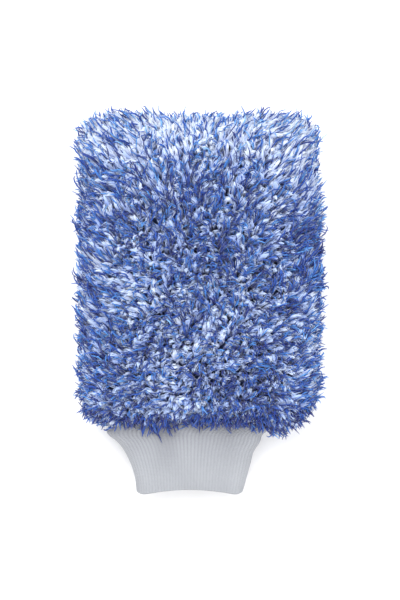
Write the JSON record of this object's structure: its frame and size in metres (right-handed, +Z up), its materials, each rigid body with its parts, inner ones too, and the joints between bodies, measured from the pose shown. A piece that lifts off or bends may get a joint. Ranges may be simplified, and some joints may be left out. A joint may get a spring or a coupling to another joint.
{
  "type": "wash mitt",
  "caption": "Plush car-wash mitt with a lining pocket for the hand and a rib-knit elastic cuff that flexes at its sewn line.",
  "frame": {"origin": "under the middle of the mitt, on the surface that it lies on", "axes": "+Y from the cuff towards the fingertips, +X across the hand, +Z up out of the front pile"},
  "size_m": [0.192, 0.29, 0.062],
  "materials": {
    "pile": "long soft pile, blue strands among white tufts",
    "base_cloth": "knitted ground cloth",
    "lining": "fine plain knit",
    "thread": "spun polyester thread",
    "rib_knit": "rib knit, matt",
    "elastic": "covered elastic thread"
  },
  "bodies": {
    "mitt": {"front_pile": "pile", "back_pile": "pile", "front_base_cloth": "base_cloth", "back_base_cloth": "base_cloth", "front_lining": "lining", "back_lining": "lining", "shell_seam_thread": "thread", "lining_seam_thread": "thread", "lining_tack_threads": "thread", "cuff_join_thread": "thread", "cuff_seam_band": "rib_knit"},
    "cuff": {"cuff_sleeve": "rib_knit", "cuff_elastic": "elastic"}
  },
  "joints": [
    {"name": "cuff_flex", "type": "hinge", "parent": "mitt", "child": "cuff", "pos_m": [0, -0.091, 0.029], "axis": [-1, 0, 0], "range_deg": [-30, 30]}
  ]
}
